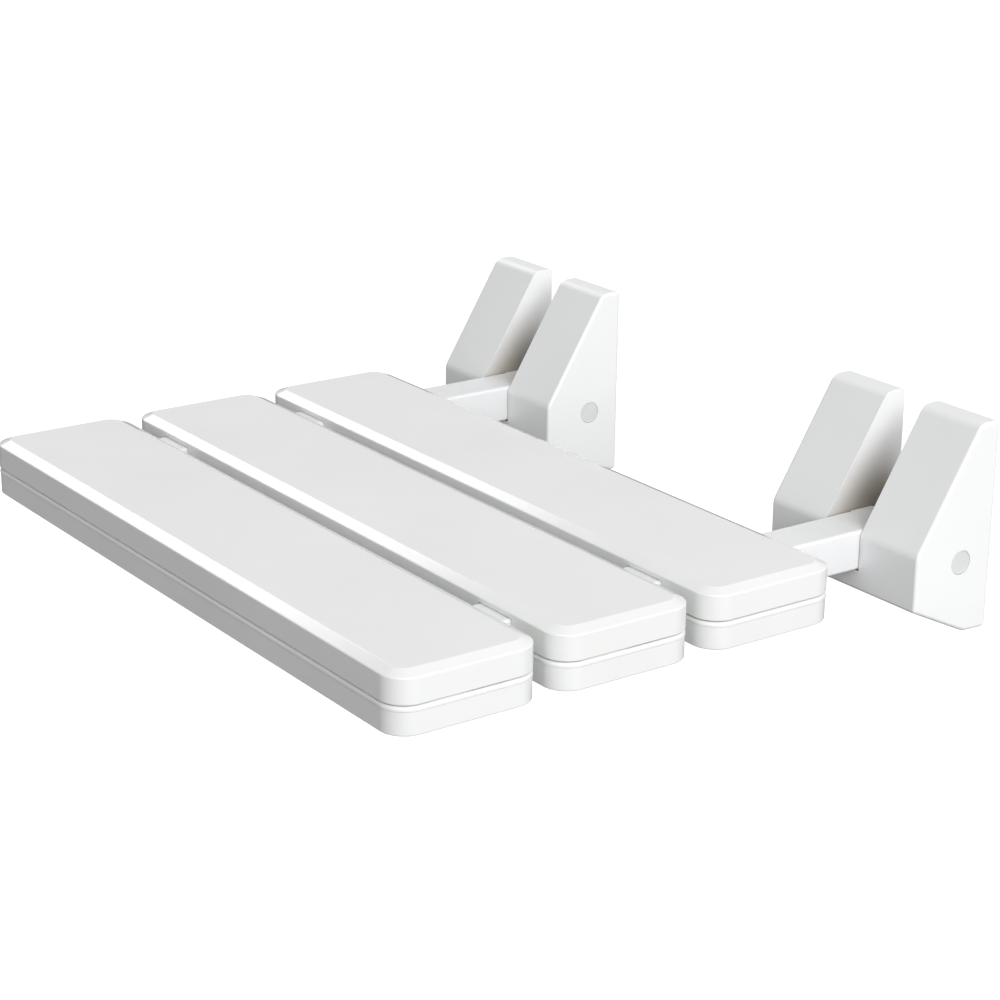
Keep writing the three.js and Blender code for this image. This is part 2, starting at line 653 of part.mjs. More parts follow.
// The pieces that stay on the wall, drawn for a bracket centred on its arm with its outer side at +X.
function bracketPieces(side) {
  return [
    piece(`${side}_wall_plate`, "steel", wallPlate()),
    piece(`${side}_bracket_cover`, "cover", bracketCover()),
    piece(`${side}_stop_pad`, "rubber", stopPad()),
    piece(`${side}_pivot_pin`, "steel", pivotPin()),
    piece(`${side}_pivot_nut`, "steel", pivotNut()),
    piece(`${side}_outer_washer`, "steel", washer(1)),
    piece(`${side}_inner_washer`, "steel", washer(-1)),
    piece(`${side}_outer_cap`, "cap", pivotCap(1)),
    piece(`${side}_inner_cap`, "cap", pivotCap(-1)),
  ];
}

function armPieces(side) {
  const screw = countersunkScrew(BLOCK_SCREW, BLOCK_SCREW_LENGTH);
  const screws = blockScrewPlaces().map((place, i) => {
    return piece(`${side}_block_screw_${i + 1}`, "steel", screw, place);
  });
  return [
    piece(`${side}_arm_tube`, "arm", armTube()),
    piece(`${side}_arm_end_cap`, "nylon", armEndCap()),
    piece(`${side}_pivot_block`, "nylon", pivotBlock()),
    piece(`${side}_outer_bush`, "nylon", bush(1)),
    piece(`${side}_inner_bush`, "nylon", bush(-1)),
    ...screws,
  ];
}

function slatPieces(name, row) {
  const screw = countersunkScrew(SLAT_SCREW, SLAT_SCREW_LENGTH);
  const screws = slatScrewPlaces(row).map((place, i) => {
    return piece(`${name}_slat_screw_${i + 1}`, "steel", screw, place);
  });
  return [
    piece(`${name}_slat_upper_shell`, "slat", upperShell(row)),
    piece(`${name}_slat_lower_shell`, "slat", lowerShell(row)),
    ...screws,
  ];
}

const brackets = new THREE.Group();
const seat = new THREE.Group();
for (const [name, side] of [["right", 1], ["left", -1]]) {
  for (const [group, pieces] of [[brackets, bracketPieces(name)], [seat, armPieces(name)]]) {
    const half = new THREE.Group().add(...pieces);
    half.position.x = (side * ARM_SPACING) / 2;
    half.scale.x = side;
    group.add(half);
  }
}
SLAT_NAMES.forEach((name, row) => seat.add(...slatPieces(name, row)));

const showerSeat = new THREE.Group().add(brackets, seat);

export default showerSeat;
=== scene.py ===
"""A wall-mounted folding shower seat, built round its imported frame: fine shells, covers, arms and
fasteners, with moulded plastic, powder coat, steel, nylon and rubber finishes. Metres, +Z up."""

import json
import math

import bmesh
import bpy
from mathutils import Matrix, Vector


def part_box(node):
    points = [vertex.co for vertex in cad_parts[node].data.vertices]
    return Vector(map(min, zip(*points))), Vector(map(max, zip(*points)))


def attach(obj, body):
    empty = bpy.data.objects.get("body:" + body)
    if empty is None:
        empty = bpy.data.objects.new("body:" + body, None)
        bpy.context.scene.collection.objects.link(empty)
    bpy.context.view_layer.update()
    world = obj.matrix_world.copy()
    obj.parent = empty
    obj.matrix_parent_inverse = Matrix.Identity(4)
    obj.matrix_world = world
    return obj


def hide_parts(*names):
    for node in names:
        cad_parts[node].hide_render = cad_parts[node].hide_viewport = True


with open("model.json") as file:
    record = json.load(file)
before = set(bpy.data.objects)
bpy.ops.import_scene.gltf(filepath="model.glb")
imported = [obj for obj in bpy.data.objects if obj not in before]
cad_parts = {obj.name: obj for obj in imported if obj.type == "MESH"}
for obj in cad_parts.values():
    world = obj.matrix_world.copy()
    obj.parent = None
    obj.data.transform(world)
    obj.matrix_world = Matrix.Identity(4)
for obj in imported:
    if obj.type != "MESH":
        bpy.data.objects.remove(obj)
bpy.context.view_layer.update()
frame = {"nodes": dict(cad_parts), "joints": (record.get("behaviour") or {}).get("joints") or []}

MM = 0.001

# Places and sizes that the frame gives.
PIVOT = Vector(frame["joints"][0]["pos_m"])
ARM_LOW, ARM_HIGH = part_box("right_arm_tube")
ARM_X = (ARM_LOW.x + ARM_HIGH.x) / 2
ARM_HALF_WIDTH = (ARM_HIGH.x - ARM_LOW.x) / 2
ARM_HALF_HEIGHT = (ARM_HIGH.z - ARM_LOW.z) / 2
COVER_LOW, COVER_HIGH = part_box("right_bracket_cover")
COVER_HALF = (COVER_HIGH.x - COVER_LOW.x) / 2
PAD_LOW, PAD_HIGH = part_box("right_stop_pad")
PLATE_LOW, PLATE_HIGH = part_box("right_wall_plate")
PLATE_HALF = (PLATE_HIGH.x - PLATE_LOW.x) / 2
CAP_LOW, CAP_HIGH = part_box("right_outer_cap")
CAP_RADIUS = (CAP_HIGH.z - CAP_LOW.z) / 2
CAP_LENGTH = CAP_HIGH.x - CAP_LOW.x
SIDES = {"right": 1, "left": -1}
SLATS = ("front", "middle", "rear")

# Clearances. The pad's top is one gap below the arm, and the web's top another.
GAP = 0.3 * MM
SLOT_GAP = 0.4 * MM
CAP_GAP = 0.1 * MM
SLOT_HALF = ARM_HALF_WIDTH + SLOT_GAP
WEB_TOP = -ARM_HALF_HEIGHT - 2 * GAP

# Slat shells. A lip round the top of the lower shell stands proud of the wall below it.
SLAT_CORNER = 13 * MM
BEVEL_WIDTH = 6 * MM
BEVEL_DROP = 2.4 * MM
BEVEL_TOP_ROUND = 1.5 * MM
BEVEL_EDGE_ROUND = 0.8 * MM
UPPER_FOOT_ROUND = 0.6 * MM
LIP_ROUND = 1.5 * MM
LIP_HEIGHT = 2.2 * MM
LIP_PROUD = 0.25 * MM
LIP_STEP_ROUND = 0.15 * MM
UNDERSIDE_ROUND = 0.8 * MM
SHELL_WALL = 2.5 * MM
SHELL_ROOF = 3.2 * MM
RIB = 2 * MM
SADDLE_LAP = 0.5 * MM

# Bracket covers.
COVER_WALL = 2.5 * MM
COVER_TOP_DEPTH = 12.1 * MM
COVER_FRONT_TOP = 8 * MM
COVER_HEEL_DEPTH = 15 * MM
COVER_HEEL_RISE = 0.6 * MM
COVER_BACK_ROUND = 2.5 * MM
COVER_BACK_GAP = 0.02 * MM
COVER_CROWN_ROUND = 7 * MM
COVER_KNEE_ROUND = 8 * MM
COVER_TOE_ROUND = 2.2 * MM
COVER_HEEL_ROUND = 12 * MM
COVER_SIDE_ROUND = 1.8 * MM
SLOT_EDGE_ROUND = 1.5 * MM
WEB_HEIGHT = 10.3 * MM
CAP_TUBE_WALL = 2 * MM
PAD_HALF_WIDTH = 10 * MM
PLATE = 2.5 * MM
PLATE_NOTCH = 22 * MM
PLATE_BOTTOM = 30 * MM

# Arms and pivot.
ARM_EDGE_ROUND = 1.6 * MM
ARM_BORE_ROUND = ARM_EDGE_ROUND / 4
ARM_END_ROUND = 0.25 * MM
ARM_WALL = 2 * MM
PIN_RADIUS = 4 * MM

# Pivot caps: an open skirt under a disc, with a rounded rim round a shallow dish.
CAP_SKIRT = 1.2 * MM
CAP_DISC = 2.5 * MM
CAP_RIM = 0.25 * MM
CAP_DISH = 0.15 * MM
CAP_DISH_ROUND = 0.3 * MM

# Screws: radius, head radius and head height. A screw is drawn from its head up.
SLAT_SCREW = (2 * MM, 4 * MM, 2.2 * MM)
BLOCK_SCREW = (1.5 * MM, 3 * MM, 1.6 * MM)
SCREW_RIM = 0.2 * MM
SCREW_POINT = 1.5 * MM
CROSS_WIDTH = 0.9 * MM
CROSS_DEPTH = 1.1 * MM
THREAD_PITCH = 1 * MM
THREAD_DEPTH = 0.3 * MM
# How far up a thread's pitch its first crest, its root and its next crest are.
THREAD_SHAPE = (0.1, 0.5, 0.9)
# How far each screw is turned from the one before, in radians, so that their crosses don't line up.
SLAT_SCREW_TURN = 1
BLOCK_SCREW_TURN = 2

# Pieces that keep the shape of their CAD node: body, finish and how much their edges are rounded.
REFINED = {
    "wall_plate": ("brackets", "steel", 0.3 * MM),
    "stop_pad": ("brackets", "rubber", 0.4 * MM),
    "arm_end_cap": ("seat", "nylon", 0.3 * MM),
    "pivot_block": ("seat", "nylon", 0.3 * MM),
    "pivot_pin": ("brackets", "steel", 0.15 * MM),
    "pivot_nut": ("brackets", "steel", 0.15 * MM),
    "outer_washer": ("brackets", "steel", 0.15 * MM),
    "inner_washer": ("brackets", "steel", 0.15 * MM),
    "outer_bush": ("seat", "nylon", 0.15 * MM),
    "inner_bush": ("seat", "nylon", 0.15 * MM),
}

# Fineness.
CORNER_STEPS = 14
FILLET_STEPS = 6
SMALL_ARC_STEPS = 4
EDGE_STEPS = 2
ROUND_STEPS = 64
SMALL_ROUND_STEPS = 32
SHARP_ANGLE = math.radians(32)
FLAT_ANGLE = math.radians(0.5)
SMALLEST_ROUND = 0.02 * MM
SHADING_WEIGHT = 100
OVERRUN = 1 * MM
HOLE_REACH = 20 * MM
SAME_PLACE = 1e-6
WELD = 1e-7
CAD_WELD = 2e-6

# The part of a noise's range that its colours and values are spread over.
NOISE_LOW = 0.3
NOISE_HIGH = 0.7

# Each noise: its scale and detail. Clouds change a colour, and patches change a gloss.
PLASTIC_CLOUDS = (14, 3)
PLASTIC_PATCHES = (45, 4)
PLASTIC_WAVES = (32, 1)
PLASTIC_GRAIN = (2600, 3)
PLASTIC_IOR = 1.5
COAT_CLOUDS = (20, 2)
COAT_PATCHES = (160, 2)
COAT_PEEL = (620, 1)
COAT_PEEL_HEIGHT = 0.05 * MM
COAT_GLOSS = (0.3, 0.42)
COAT_LACQUER = 0.2
COAT_LACQUER_ROUGHNESS = 0.25
STEEL_LINES = (900, 3)
STEEL_LINE_STRETCH = (0.03, 1, 1)
STEEL_LINE_HEIGHT = 0.01 * MM
STEEL_MARKS = (120, 4)
STEEL_GLOSS = (0.2, 0.42)
STEEL_ANISOTROPY = 0.4
MATT_CLOUDS = (60, 3)
MATT_PATCHES = (210, 3)
MATT_GRAIN = (1700, 2)

# Painted shade deep in the brackets' slots, where ambient occlusion darkens the cover's colour: its colour,
# how far the occlusion round a point is felt, and its limits.
SLOT_SHADE = (0.3, 0.27, 0.22)
SLOT_SHADE_REACH = 45 * MM
SLOT_SHADE_FULL = 0.2
SLOT_SHADE_NONE = 0.62

# Camera: where it looks, from which side, how far away, and its lens.
LOOK_AT = Vector((9.0, -158.8, 3.1)) * MM
CAMERA_AZIMUTH = 54.46
CAMERA_ELEVATION = 19.03
CAMERA_ROLL = 0.613
CAMERA_DISTANCE = 1.2982
CAMERA_LENS = 90.53
CAMERA_SENSOR = 36
CAMERA_CLIP = (0.01, 200)

# Studio.
FLOOR_DROP = 0.45
FLOOR_SIZE = 60
FLOOR_DARK = (0.2, 0.2, 0.2)
FLOOR_LIGHT = (0.24, 0.24, 0.24)
FLOOR_PATCHES = (3, 2)
FLOOR_ROUGHNESS = 0.9
WHITE = (1, 1, 1, 1)
SKY_DIM = 0.16
# Each glow: where it's brightest, the cosine at which it starts, and its strength.
SKY_GLOWS = (
    ((1.0, -0.2, 0.25), 0.0, 1.5),
    ((-0.769, 0.55, 0.326), 0.65, 0.7),
)
# Each lamp: where it is from the seat, its distance, size and power.
LAMPS = {
    "key_lamp": ((0.8, -0.16, 0.42), 2.2, (1.1, 1.1), 21),
    "bevel_lamp": ((-0.88, 0.12, 0.54), 2.5, (1.0, 0.75), 8),
}


# ---- Outlines ----

def rounded(points, steps, closed=True):
    """Rounds each corner of a path of (a, b, radius) points with an arc of steps + 1 points."""
    path = []
    count = len(points)
    for i, (a, b, radius) in enumerate(points):
        corner = Vector((a, b))
        if radius <= 0 or (not closed and i in (0, count - 1)):
            path.append(corner)
            continue
        back = (Vector(points[i - 1][:2]) - corner).normalized()
        ahead = (Vector(points[(i + 1) % count][:2]) - corner).normalized()
        half = back.angle(ahead) / 2
        centre = corner + (back + ahead).normalized() * (radius / math.sin(half))
        start = corner + back * (radius / math.tan(half)) - centre
        end = corner + ahead * (radius / math.tan(half)) - centre
        turn = start.angle_signed(end)
        for step in range(steps + 1):
            path.append(centre + Matrix.Rotation(-turn * step / steps, 2) @ start)
    return path


def inset(corners, amounts):
    """Moves each side of a convex outline inwards by its own amount. Side i starts at corner i."""
    count = len(corners)
    sides = []
    for i, (a, b, _) in enumerate(corners):
        along = (Vector(corners[(i + 1) % count][:2]) - Vector((a, b))).normalized()
        sides.append((Vector((a, b)) + Vector((-along.y, along.x)) * amounts[i], along))
    moved = []
    for i, (_, _, radius) in enumerate(corners):
        start, along = sides[i - 1]
        other, other_along = sides[i]
        travel = (other - start).cross(other_along) / along.cross(other_along)
        corner = start + along * travel
        moved.append((corner.x, corner.y, max(radius - amounts[i], SMALLEST_ROUND) if radius else 0))
    return moved


def rectangle(half_a, half_b, radius):
    signs = ((-1, -1), (1, -1), (1, 1), (-1, 1))
    return [(a * half_a, b * half_b, radius) for a, b in signs]


# ---- Meshes ----

def new_object(name, mesh):
    obj = bpy.data.objects.new(name, mesh)
    bpy.context.scene.collection.objects.link(obj)
    return obj


def from_bmesh(name, bm):
    bmesh.ops.recalc_face_normals(bm, faces=bm.faces)
    mesh = bpy.data.meshes.new(name)
    bm.to_mesh(mesh)
    bm.free()
    return new_object(name, mesh)


def loft(name, rings):
    """Joins rings of points into a closed skin, with a flat face over each end."""
    bm = bmesh.new()
    rows = [[bm.verts.new(point) for point in ring] for ring in rings]
    for low, high in zip(rows, rows[1:]):
        for i in range(len(low)):
            bm.faces.new((low[i - 1], low[i], high[i], high[i - 1]))
    bm.faces.new(rows[0])
    bm.faces.new(rows[-1])
    return from_bmesh(name, bm)


def on_axis(axis, a, b, along):
    """A point of an outline: along X it's drawn in Y and Z, along Y in X and Z, and along Z in X and Y."""
    return {"X": (along, a, b), "Y": (a, along, b), "Z": (a, b, along)}[axis]


def prism(name, axis, corners, span, fillet=0.0, steps=CORNER_STEPS):
    """An outline pushed along an axis, with both of its end rims rounded."""
    levels = [(0.0, span[0]), (0.0, span[1])]
    if fillet:
        turns = [math.pi / 2 * i / FILLET_STEPS for i in range(FILLET_STEPS + 1)]
        first = [(fillet * (1 - math.sin(t)), span[0] + fillet * (1 - math.cos(t))) for t in turns]
        last = [(depth, span[0] + span[1] - along) for depth, along in reversed(first)]
        levels = first + last
    rings = []
    for depth, along in levels:
        outline = rounded(inset(corners, [depth] * len(corners)), steps)
        rings.append([on_axis(axis, p.x, p.y, along) for p in outline])
    return loft(name, rings)


def block(name, xs, ys, zs):
    corners = [(xs[0], ys[0], 0), (xs[1], ys[0], 0), (xs[1], ys[1], 0), (xs[0], ys[1], 0)]
    return prism(name, "Z", corners, zs)


def turned(name, profile, steps=ROUND_STEPS):
    """Turns a closed or axis-to-axis profile of (radius, height) points about Z."""
    bm = bmesh.new()
    verts = [bm.verts.new((radius, 0, height)) for radius, height in profile]
    edges = [bm.edges.new(pair) for pair in zip(verts, verts[1:])]
    if profile[0][0] > 0 and profile[-1][0] > 0:
        edges.append(bm.edges.new((verts[-1], verts[0])))
    bmesh.ops.spin(
        bm, geom=verts + edges, axis=(0, 0, 1), cent=(0, 0, 0), angle=2 * math.pi, steps=steps, use_merge=True
    )
    bmesh.ops.remove_doubles(bm, verts=bm.verts, dist=WELD)
    return from_bmesh(name, bm)


def bar(name, radius, span):
    """A round bar along X, on the pivot's axis."""
    turns = [2 * math.pi * i / ROUND_STEPS for i in range(ROUND_STEPS)]
    circle = [(PIVOT.y + radius * math.cos(t), PIVOT.z + radius * math.sin(t)) for t in turns]
    return loft(name, [[(x, y, z) for y, z in circle] for x in span])


def carve(target, tools, operation="DIFFERENCE"):
    """Cuts tools from a solid, or joins them to it, and drops the tools."""
    for tool in tools:
        modifier = target.modifiers.new("cut", "BOOLEAN")
        modifier.operation = operation
        modifier.solver = "EXACT"
        modifier.object = tool
    graph = bpy.context.evaluated_depsgraph_get()
    mesh = bpy.data.meshes.new_from_object(target.evaluated_get(graph))
    target.modifiers.clear()
    target.data = mesh
    for tool in tools:
        bpy.data.objects.remove(tool)
    return target


def round_edges(target, chosen, radius, steps):
    """Rounds the edges that a test picks."""
    bm = bmesh.new()
    bm.from_mesh(target.data)
    bmesh.ops.remove_doubles(bm, verts=bm.verts, dist=WELD)
    edges = [e for e in bm.edges if len(e.link_faces) == 2 and chosen(e)]
    bmesh.ops.bevel(
        bm, geom=edges, offset=radius, segments=steps, profile=0.5, affect="EDGES", clamp_overlap=True
    )
    bm.to_mesh(target.data)
    bm.free()
    return target


def place(source, name, x=0.0, mirrored=False):
    """A copy of a piece, moved along X, and mirrored across X where asked."""
    mesh = source.data.copy()
    move = Matrix.Translation((x, 0, 0))
    if mirrored:
        move = move @ Matrix.Scale(-1, 4, (1, 0, 0))
    mesh.transform(move)
    if mirrored:
        mesh.flip_normals()
    return new_object(name, mesh)


def dress(obj, node, body, finish):
    """Gives a finished piece its shading, finish and body, in place of its CAD node."""
    for polygon in obj.data.polygons:
        polygon.use_smooth = True
    obj.data.set_sharp_from_angle(angle=SHARP_ANGLE)
    weighted = obj.modifiers.new("even_shading", "WEIGHTED_NORMAL")
    weighted.keep_sharp = True
    weighted.weight = SHADING_WEIGHT
    obj.data.materials.clear()
    obj.data.materials.append(FINISHES[finish])
    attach(obj, body)
    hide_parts(node)


# ---- Finishes ----

def surface(name):
    """A new material's nodes, its main shader, and the object's own coordinates."""
    material = bpy.data.materials.new(name)
    material.use_nodes = True
    nodes = material.node_tree.nodes
    shader = nodes["Principled BSDF"]
    where = nodes.new("ShaderNodeTexCoord").outputs["Object"]
    return material, nodes, material.node_tree.links, shader, where


def noise(nodes, links, where, grain, stretch=(1, 1, 1)):
    """A noise of a given scale and detail."""
    scale, detail = grain
    mapping = nodes.new("ShaderNodeMapping")
    mapping.inputs["Scale"].default_value = stretch
    links.new(where, mapping.inputs["Vector"])
    texture = nodes.new("ShaderNodeTexNoise")
    texture.inputs["Scale"].default_value = scale
    texture.inputs["Detail"].default_value = detail
    links.new(mapping.outputs["Vector"], texture.inputs["Vector"])
    return texture.outputs["Fac"]


def spread(nodes, links, value, low, high):
    """Maps the middle of a noise's range onto a range of values."""
    mapped = nodes.new("ShaderNodeMapRange")
    mapped.inputs["From Min"].default_value = NOISE_LOW
    mapped.inputs["From Max"].default_value = NOISE_HIGH
    mapped.inputs["To Min"].default_value = low
    mapped.inputs["To Max"].default_value = high
    links.new(value, mapped.inputs["Value"])
    return mapped.outputs["Result"]


def tint(nodes, links, value, dark, light):
    """Maps the middle of a noise's range onto a range of colours."""
    ramp = nodes.new("ShaderNodeValToRGB")
    ramp.color_ramp.elements[0].position = NOISE_LOW
    ramp.color_ramp.elements[0].color = (*dark, 1)
    ramp.color_ramp.elements[1].position = NOISE_HIGH
    ramp.color_ramp.elements[1].color = (*light, 1)
    links.new(value, ramp.inputs["Fac"])
    return ramp.outputs["Color"]


def bump(nodes, links, height, distance, under=None):
    """Relief of a given height, over other relief where there is some."""
    node = nodes.new("ShaderNodeBump")
    node.inputs["Distance"].default_value = distance
    node.inputs["Strength"].default_value = 1
    links.new(height, node.inputs["Height"])
    if under:
        links.new(under, node.inputs["Normal"])
    return node.outputs["Normal"]


def painted_slot_shade(nodes, links, colour, shade_colour):
    """A colour darkened towards a painted shade deep in slots, by the ambient occlusion round each point."""
    # Painted shade: the colour darkens towards the shade colour where ambient occlusion is strong.
    occlusion = nodes.new("ShaderNodeAmbientOcclusion")
    occlusion.inputs["Distance"].default_value = SLOT_SHADE_REACH
    depth = nodes.new("ShaderNodeMapRange")
    depth.inputs["From Min"].default_value = SLOT_SHADE_FULL
    depth.inputs["From Max"].default_value = SLOT_SHADE_NONE
    links.new(occlusion.outputs["AO"], depth.inputs["Value"])
    mixed = nodes.new("ShaderNodeMix")
    mixed.data_type = "RGBA"
    mixed.inputs["A"].default_value = (*shade_colour, 1)
    links.new(depth.outputs["Result"], mixed.inputs["Factor"])
    links.new(colour, mixed.inputs["B"])
    return mixed.outputs["Result"]


def moulded_plastic(name, dark, light, smooth, rough, grain, ripple, shade_colour=None):
    """White moulded plastic: faint flow clouds, a fine spark-eroded grain and long shallow ripples."""
    material, nodes, links, shader, where = surface(name)
    colour = tint(nodes, links, noise(nodes, links, where, PLASTIC_CLOUDS), dark, light)
    # Where a shade colour is given, painted shade darkens the colour deep in slots.
    if shade_colour:
        colour = painted_slot_shade(nodes, links, colour, shade_colour)
    links.new(colour, shader.inputs["Base Color"])
    patches = noise(nodes, links, where, PLASTIC_PATCHES)
    links.new(spread(nodes, links, patches, smooth, rough), shader.inputs["Roughness"])
    waves = bump(nodes, links, noise(nodes, links, where, PLASTIC_WAVES), ripple)
    skin = bump(nodes, links, noise(nodes, links, where, PLASTIC_GRAIN), grain, waves)
    links.new(skin, shader.inputs["Normal"])
    shader.inputs["IOR"].default_value = PLASTIC_IOR
    return material


def powder_coat(name, dark, light):
    """Powder coat: the rounded pebbling of orange peel over faint thickness changes."""
    material, nodes, links, shader, where = surface(name)
    clouds = noise(nodes, links, where, COAT_CLOUDS)
    links.new(tint(nodes, links, clouds, dark, light), shader.inputs["Base Color"])
    patches = noise(nodes, links, where, COAT_PATCHES)
    links.new(spread(nodes, links, patches, *COAT_GLOSS), shader.inputs["Roughness"])
    peel = bump(nodes, links, noise(nodes, links, where, COAT_PEEL), COAT_PEEL_HEIGHT)
    links.new(peel, shader.inputs["Normal"])
    shader.inputs["Coat Weight"].default_value = COAT_LACQUER
    shader.inputs["Coat Roughness"].default_value = COAT_LACQUER_ROUGHNESS
    return material


def brushed_steel(name, dark, light):
    """Stainless steel with long brush lines along X and a few cloudy handling marks."""
    material, nodes, links, shader, where = surface(name)
    lines = noise(nodes, links, where, STEEL_LINES, STEEL_LINE_STRETCH)
    marks = noise(nodes, links, where, STEEL_MARKS)
    links.new(tint(nodes, links, marks, dark, light), shader.inputs["Base Color"])
    links.new(spread(nodes, links, lines, *STEEL_GLOSS), shader.inputs["Roughness"])
    links.new(bump(nodes, links, lines, STEEL_LINE_HEIGHT), shader.inputs["Normal"])
    shader.inputs["Metallic"].default_value = 1
    shader.inputs["Anisotropic"].default_value = STEEL_ANISOTROPY
    return material


def matt_plastic(name, dark, light, smooth, rough, grain):
    """Nylon or rubber: an even fine grain, no gloss, and slight cloudiness."""
    material, nodes, links, shader, where = surface(name)
    clouds = noise(nodes, links, where, MATT_CLOUDS)
    links.new(tint(nodes, links, clouds, dark, light), shader.inputs["Base Color"])
    patches = noise(nodes, links, where, MATT_PATCHES)
    links.new(spread(nodes, links, patches, smooth, rough), shader.inputs["Roughness"])
    links.new(bump(nodes, links, noise(nodes, links, where, MATT_GRAIN), grain), shader.inputs["Normal"])
    return material


# Each finish: its darkest and lightest colour. The plastics, nylon and rubber then have their smoothest
# and roughest gloss, and the height of their grain. Moulded plastic also has the height of its ripples,
# and the colour of a painted shade deep in slots where there is some.
FINISHES = {
    "slat_plastic": moulded_plastic(
        "slat_plastic", (0.80, 0.81, 0.80), (0.83, 0.84, 0.83), 0.1, 0.15, 0.006 * MM, 0.02 * MM
    ),
    # The covers' colour carries a painted shade deep in their slots.
    "cover_plastic": moulded_plastic(
        "cover_plastic", (0.85, 0.855, 0.86), (0.88, 0.885, 0.89), 0.3, 0.38, 0.01 * MM, 0.05 * MM, SLOT_SHADE
    ),
    "cap_plastic": matt_plastic(
        "cap_plastic", (0.66, 0.665, 0.67), (0.70, 0.705, 0.71), 0.45, 0.6, 0.02 * MM
    ),
    "arm_coating": powder_coat("arm_coating", (0.80, 0.805, 0.815), (0.84, 0.845, 0.85)),
    "nylon": matt_plastic("nylon", (0.76, 0.76, 0.74), (0.80, 0.80, 0.78), 0.42, 0.6, 0.03 * MM),
    "rubber": matt_plastic("rubber", (0.035, 0.036, 0.038), (0.06, 0.06, 0.062), 0.7, 0.9, 0.06 * MM),
    "steel": brushed_steel("steel", (0.50, 0.505, 0.51), (0.62, 0.625, 0.63)),
}


# ---- Slats ----

def slat_screw_places(name):
    """Each of a slat's screws: the middle of its head's face, and its length, from its CAD node."""
    places = []
    for number in range(1, 5):
        low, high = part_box(f"{name}_slat_screw_{number}")
        places.append(((low.x + high.x) / 2, (low.y + high.y) / 2, low.z, high.z - low.z))
    return places


def slat_rings(half_length, half_depth, middle_y, profile):
    """Rings round a slat: profile is its (inset, height) section, listed upwards from the underside."""
    rings = []
    for depth, z in profile:
        corners = rectangle(half_length - depth, half_depth - depth, SLAT_CORNER - depth)
        rings.append([(p.x, p.y + middle_y, z) for p in rounded(corners, CORNER_STEPS)])
    return rings


def screw_hole(sizes, spot, length):
    """The countersunk hole round a screw, opened out below its head."""
    radius, head, height = sizes
    mouth = head + GAP
    bore = radius + GAP
    hole = turned(
        "hole",
        [(0, -OVERRUN), (mouth, -OVERRUN), (mouth, GAP), (bore, height + GAP), (bore, length), (0, length)],
        SMALL_ROUND_STEPS,
    )
    hole.data.transform(Matrix.Translation(spot))
    return hole


def arm_channels(low, high):
    """The two channels for the arms, through a slat or up to the arms' front ends."""
    front = max(low.y - OVERRUN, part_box("right_arm_end_cap")[0].y - GAP)
    reach = ARM_HALF_WIDTH + GAP
    lift = ARM_HALF_HEIGHT + GAP
    tools = []
    for side in SIDES.values():
        middle = side * ARM_X
        xs = (middle - reach, middle + reach)
        tools.append(block("channel", xs, (front, high.y + OVERRUN), (-lift, lift)))
    return tools


def slat_ribs(low, high, zs):
    """Ribs inside a shell: one along the slat and one on each side of each arm."""
    middle = (low.y + high.y) / 2
    inside_x = (low.x + SHELL_WALL / 2, high.x - SHELL_WALL / 2)
    inside_y = (low.y + SHELL_WALL / 2, high.y - SHELL_WALL / 2)
    tools = [block("rib", inside_x, (middle - RIB / 2, middle + RIB / 2), zs)]
    for side in SIDES.values():
        for edge in (-1, 1):
            x = side * ARM_X + edge * (ARM_HALF_WIDTH + GAP + RIB / 2)
            tools.append(block("rib", (x - RIB / 2, x + RIB / 2), inside_y, zs))
    return tools


def slat_shell(name, low, high, profile, hollow, ribs, saddle=None):
    """One shell: its skin, hollowed, ribbed, cut for the arms and drilled for the screws."""
    middle = (low.y + high.y) / 2
    half_length = (high.x - low.x) / 2
    half_depth = (high.y - low.y) / 2
    shell = loft(f"{name}_fine", slat_rings(half_length, half_depth, middle, profile))
    room = slat_rings(half_length, half_depth, middle, [(SHELL_WALL, z) for z in hollow])
    carve(shell, [loft("hollow", room)])
    added = slat_ribs(low, high, ribs)
    if saddle:
        reach = ARM_HALF_WIDTH + GAP + RIB
        inside_y = (low.y + SHELL_WALL / 2, high.y - SHELL_WALL / 2)
        for side in SIDES.values():
            xs = (side * ARM_X - reach, side * ARM_X + reach)
            added.append(block("saddle", xs, inside_y, saddle))
    carve(shell, added, "UNION")
    tools = arm_channels(low, high)
    slat = name.split("_")[0]
    for x, y, z, length in slat_screw_places(slat):
        tools.append(screw_hole(SLAT_SCREW, (x, y, z), length + GAP))
    carve(shell, tools)
    dress(shell, name, "seat", "slat_plastic")


def upper_shell(slat):
    name = f"{slat}_slat_upper_shell"
    low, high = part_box(name)
    section = rounded(
        [
            (UPPER_FOOT_ROUND * 2, low.z, 0),
            (0, low.z, UPPER_FOOT_ROUND),
            (0, high.z - BEVEL_DROP, BEVEL_EDGE_ROUND),
            (BEVEL_WIDTH, high.z, BEVEL_TOP_ROUND),
            (BEVEL_WIDTH * 2, high.z, 0),
        ],
        FILLET_STEPS,
        closed=False,
    )
    roof = high.z - SHELL_ROOF
    profile = [(p.x, p.y) for p in section]
    hollow = (low.z - OVERRUN, roof)
    saddle = (ARM_HALF_HEIGHT, roof + SADDLE_LAP)
    slat_shell(name, low, high, profile, hollow, (low.z, roof + OVERRUN), saddle)


def lower_shell(slat):
    name = f"{slat}_slat_lower_shell"
    low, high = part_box(name)
    section = rounded(
        [
            (UNDERSIDE_ROUND * 2, low.z, 0),
            (LIP_PROUD, low.z, UNDERSIDE_ROUND),
            (LIP_PROUD, high.z - LIP_HEIGHT - LIP_PROUD, LIP_STEP_ROUND),
            (0, high.z - LIP_HEIGHT, LIP_STEP_ROUND),
            (0, high.z, LIP_ROUND),
            (LIP_ROUND * 2, high.z, 0),
        ],
        FILLET_STEPS,
        closed=False,
    )
    floor = -ARM_HALF_HEIGHT - GAP
    profile = [(p.x, p.y) for p in section]
    slat_shell(name, low, high, profile, (floor, high.z + OVERRUN), (floor - OVERRUN, high.z))


# ---- Brackets, drawn centred on their arm ----

